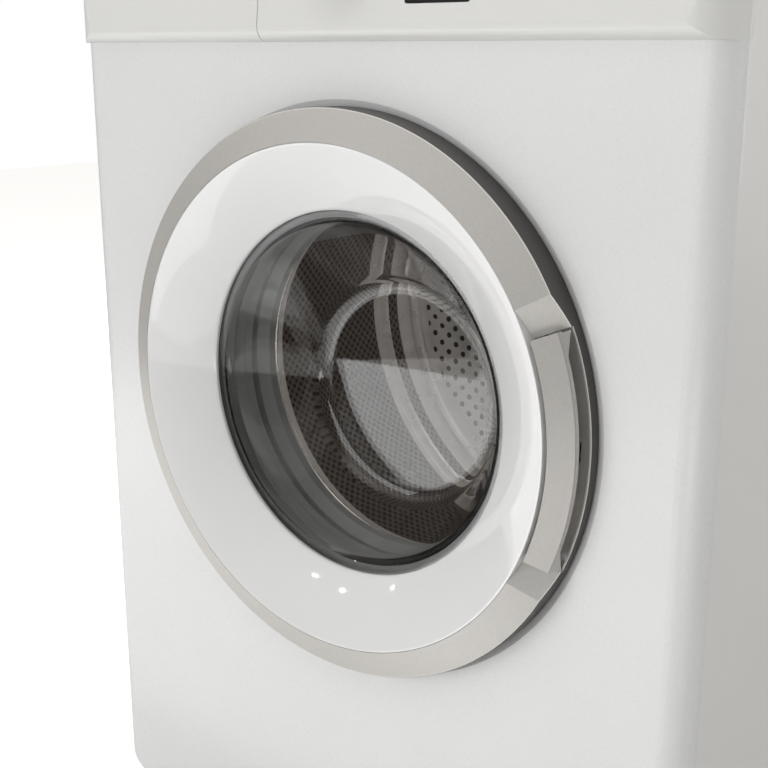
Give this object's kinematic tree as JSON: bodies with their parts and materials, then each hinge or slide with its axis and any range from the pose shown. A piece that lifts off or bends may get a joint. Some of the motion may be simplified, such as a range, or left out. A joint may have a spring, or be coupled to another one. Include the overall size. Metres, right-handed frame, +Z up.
{
  "type": "washing machine",
  "caption": "Free-standing front-loading washing machine with a round glass door, side handle, detergent drawer, dial and drum.",
  "frame": {"origin": "on the floor in the middle of the machine's bounding box", "axes": "+Z up, front with the door towards -Y, +X to the right seen from the front"},
  "size_m": [0.6, 0.5824, 0.85],
  "materials": {
    "base_plastic": "moulded",
    "cabinet_steel": "satin white",
    "front_steel": "smooth white enamel",
    "zinc_steel": "zinc coated",
    "screw_steel": "plain",
    "white_plastic": "moulded white",
    "worktop": "white laminate",
    "foot_rubber": "matt",
    "grey_plastic": "moulded grey",
    "front_plastic": "smooth white",
    "fascia_plastic": "smooth white",
    "display_glass": "dark gloss",
    "board_green": "circuit board",
    "knob_silver": "silver paint",
    "button_plastic": "silver paint",
    "tray_plastic": "moulded white",
    "siphon_plastic": "clear blue",
    "hose_rubber": "matt",
    "black_plastic": "moulded black",
    "ring_silver": "silver grey metallic paint",
    "ring_white": "high gloss white",
    "bowl_glass": "clear",
    "handle_silver": "silver grey metallic paint",
    "spring_steel": "wire",
    "hinge_metal": "zinc plated",
    "gasket_rubber": "matt grey",
    "tub_plastic": "moulded",
    "drum_steel": "bright stainless",
    "lifter_plastic": "moulded",
    "spider_alloy": "cast",
    "belt_rubber": "ribbed",
    "motor_paint": "painted",
    "concrete": "cast"
  },
  "bodies": {
    "cabinet": {"base_frame": "base_plastic", "side_panel_left": "cabinet_steel", "side_panel_right": "cabinet_steel", "front_panel": "front_steel", "rear_panel": "zinc_steel", "rear_cover": "zinc_steel", "rear_screws": "screw_steel", "top_cover": "white_plastic", "top_board": "worktop", "top_braces": "zinc_steel", "feet": "foot_rubber", "foot_nuts": "screw_steel", "transit_plugs": "grey_plastic", "fascia": "fascia_plastic", "display_window": "display_glass", "control_board": "board_green", "dispenser_housing": "grey_plastic", "dispenser_hose": "hose_rubber", "inlet_valve": "white_plastic", "fill_hose": "hose_rubber", "mains_gland": "black_plastic", "hinge_bracket": "hinge_metal", "hinge_pin": "screw_steel", "door_lock": "black_plastic", "gasket": "gasket_rubber", "tub_front": "tub_plastic", "tub_rear": "tub_plastic", "heater": "screw_steel", "drum_bearings": "screw_steel", "drive_belt": "belt_rubber", "motor": "motor_paint", "counterweight_front": "concrete", "suspension_springs": "spring_steel", "dampers": "grey_plastic", "drain_pump": "black_plastic", "drain_hose": "hose_rubber"},
    "door": {"door_ring": "ring_silver", "door_inner_ring": "ring_white", "door_glass": "bowl_glass", "door_back_frame": "white_plastic", "handle_pin": "screw_steel", "handle_spring": "spring_steel", "hinge_arm": "hinge_metal"},
    "handle": {"handle_bar": "handle_silver"},
    "latch": {"latch_hook": "hinge_metal"},
    "drum": {"drum": "drum_steel", "drum_lifters": "lifter_plastic", "drum_spider": "spider_alloy", "drum_pulley": "spider_alloy"},
    "rotor": {"motor_pulley": "screw_steel"},
    "drawer": {"drawer_front": "fascia_plastic", "drawer_tray": "tray_plastic", "siphon_insert": "siphon_plastic"},
    "knob": {"programme_knob": "knob_silver"},
    "power_button": {"button_power": "button_plastic"},
    "start_button": {"button_start": "button_plastic"},
    "temperature_button": {"button_temperature": "button_plastic"},
    "spin_button": {"button_spin": "button_plastic"},
    "flap": {"filter_flap": "front_plastic"},
    "cap": {"filter_cap": "grey_plastic"}
  },
  "joints": [
    {"name": "door_hinge", "type": "hinge", "parent": "cabinet", "child": "door", "pos_m": [-0.216, -0.2708, 0.457], "axis": [0, 0, -1], "range_deg": [0, 130]},
    {"name": "handle_lever", "type": "hinge", "parent": "door", "child": "handle", "pos_m": [0.203, -0.2798, 0.457], "axis": [0, 0, -1], "range_deg": [0, 9], "stiffness_Nm_per_rad": 1.2, "springref_deg": -8.59},
    {"name": "latch_turn", "type": "hinge", "parent": "door", "child": "latch", "pos_m": [0.199, -0.2518, 0.457], "axis": [0, 0, -1], "range_deg": [-14, 0]},
    {"name": "drum_spin", "type": "hinge", "parent": "cabinet", "child": "drum", "pos_m": [0, -0.0108, 0.457], "axis": [0, 1, 0], "continuous": true},
    {"name": "rotor_spin", "type": "hinge", "parent": "cabinet", "child": "rotor", "pos_m": [-0.12, 0.1792, 0.135], "axis": [0, 1, 0], "continuous": true},
    {"name": "drawer_slide", "type": "slide", "parent": "cabinet", "child": "drawer", "axis": [0, -1, 0], "range_m": [0, 0.18]},
    {"name": "knob_turn", "type": "hinge", "parent": "cabinet", "child": "knob", "pos_m": [0.003, -0.26582, 0.7812], "axis": [0, -0.9936, 0.1132], "continuous": true},
    {"name": "power_press", "type": "slide", "parent": "cabinet", "child": "power_button", "axis": [0, 0.9936, -0.1132], "range_m": [0, 0.0015], "stiffness_N_per_m": 400, "springref_m": -0.0005},
    {"name": "start_press", "type": "slide", "parent": "cabinet", "child": "start_button", "axis": [0, 0.9936, -0.1132], "range_m": [0, 0.0015], "stiffness_N_per_m": 400, "springref_m": -0.0005},
    {"name": "temperature_press", "type": "slide", "parent": "cabinet", "child": "temperature_button", "axis": [0, 0.9936, -0.1132], "range_m": [0, 0.0015], "stiffness_N_per_m": 400, "springref_m": -0.0005},
    {"name": "spin_press", "type": "slide", "parent": "cabinet", "child": "spin_button", "axis": [0, 0.9936, -0.1132], "range_m": [0, 0.0015], "stiffness_N_per_m": 400, "springref_m": -0.0005},
    {"name": "flap_hinge", "type": "hinge", "parent": "cabinet", "child": "flap", "pos_m": [0.19, -0.2563, 0.045], "axis": [1, 0, 0], "range_deg": [0, 85]},
    {"name": "cap_turn", "type": "hinge", "parent": "cabinet", "child": "cap", "pos_m": [0.19, -0.2408, 0.092], "axis": [0, -1, 0], "range_deg": [0, 180]}
  ],
  "couplings": [
    {"joint": "latch_turn", "follows": "handle_lever", "ratio": -1.46},
    {"joint": "rotor_spin", "follows": "drum_spin", "ratio": 13.5}
  ]
}
